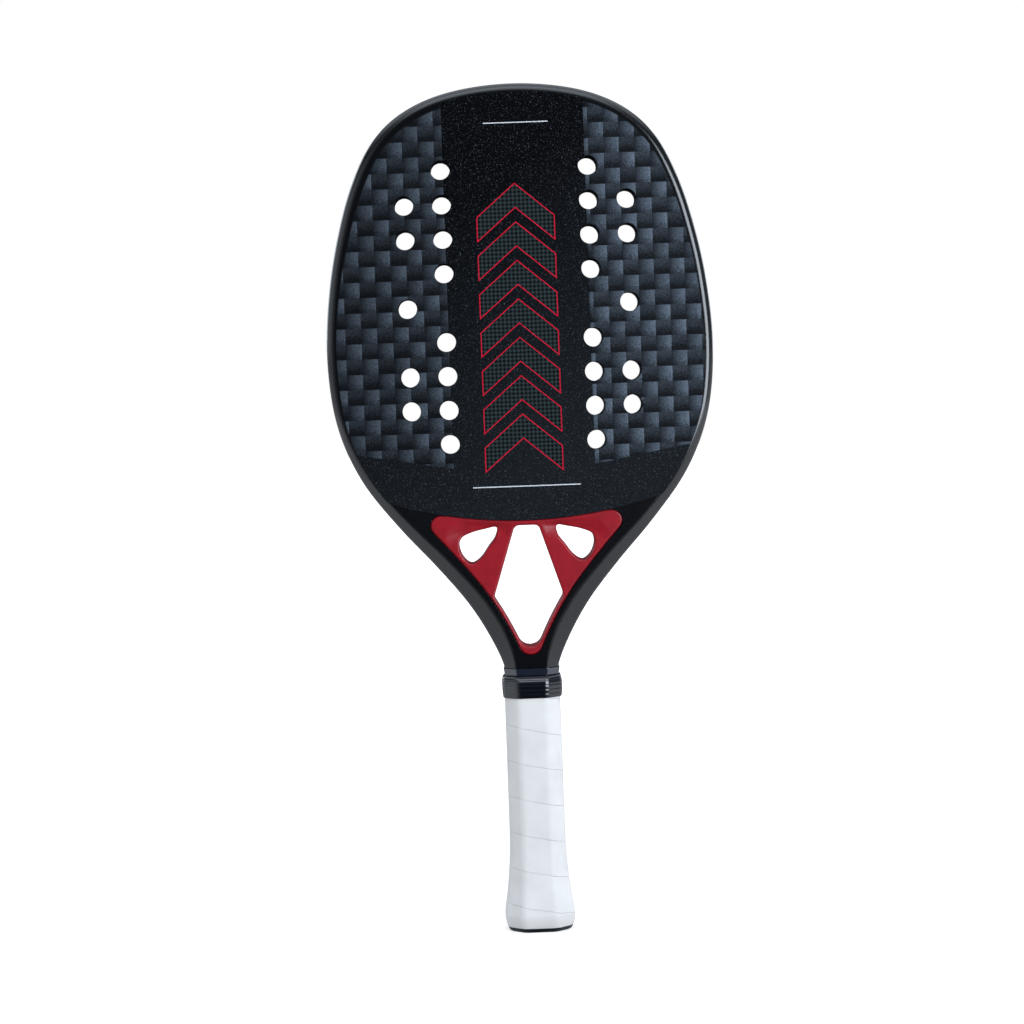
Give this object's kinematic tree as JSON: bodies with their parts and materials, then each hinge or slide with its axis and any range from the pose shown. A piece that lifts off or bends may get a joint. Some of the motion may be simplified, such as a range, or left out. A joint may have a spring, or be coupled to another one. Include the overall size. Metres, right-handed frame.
{
  "type": "beach tennis racket",
  "caption": "Beach tennis racket: drilled carbon head over a foam core, open throat with a red moulded insert, and a white spiral-wound grip on an octagonal handle.",
  "frame": {"origin": "middle of the flat butt end", "axes": "+Z from the butt to the top of the head, +X across the head, +Y through its thickness from the front face to the back face"},
  "size_m": [0.2274, 0.0382, 0.5],
  "materials": {
    "carbon_gloss": "satin",
    "carbon_gritty": "matte",
    "carbon_weave": "satin",
    "core_foam": "matte",
    "red_plastic": "satin",
    "handle_foam": "matte",
    "plug_foam": "matte",
    "cap_plastic": "satin",
    "staple_steel": "satin",
    "grip_skin": "matte",
    "tape_black": "satin",
    "collar_rubber": "satin"
  },
  "bodies": {
    "root": {"frame_tube": "carbon_gloss", "bridge_tube": "carbon_gloss", "front_face": "carbon_gritty", "back_face": "carbon_gritty", "front_side_ply_left": "carbon_weave", "front_side_ply_right": "carbon_weave", "back_side_ply_left": "carbon_weave", "back_side_ply_right": "carbon_weave", "foam_core": "core_foam", "throat_insert": "red_plastic", "pallet_front": "handle_foam", "pallet_back": "handle_foam", "leg_plug_left": "plug_foam", "leg_plug_right": "plug_foam", "butt_cap": "cap_plastic", "cap_staple_front": "staple_steel", "cap_staple_right": "staple_steel", "cap_staple_back": "staple_steel", "cap_staple_left": "staple_steel", "grip_tape": "grip_skin", "finishing_tape": "tape_black", "collar": "collar_rubber"}
  },
  "joints": []
}
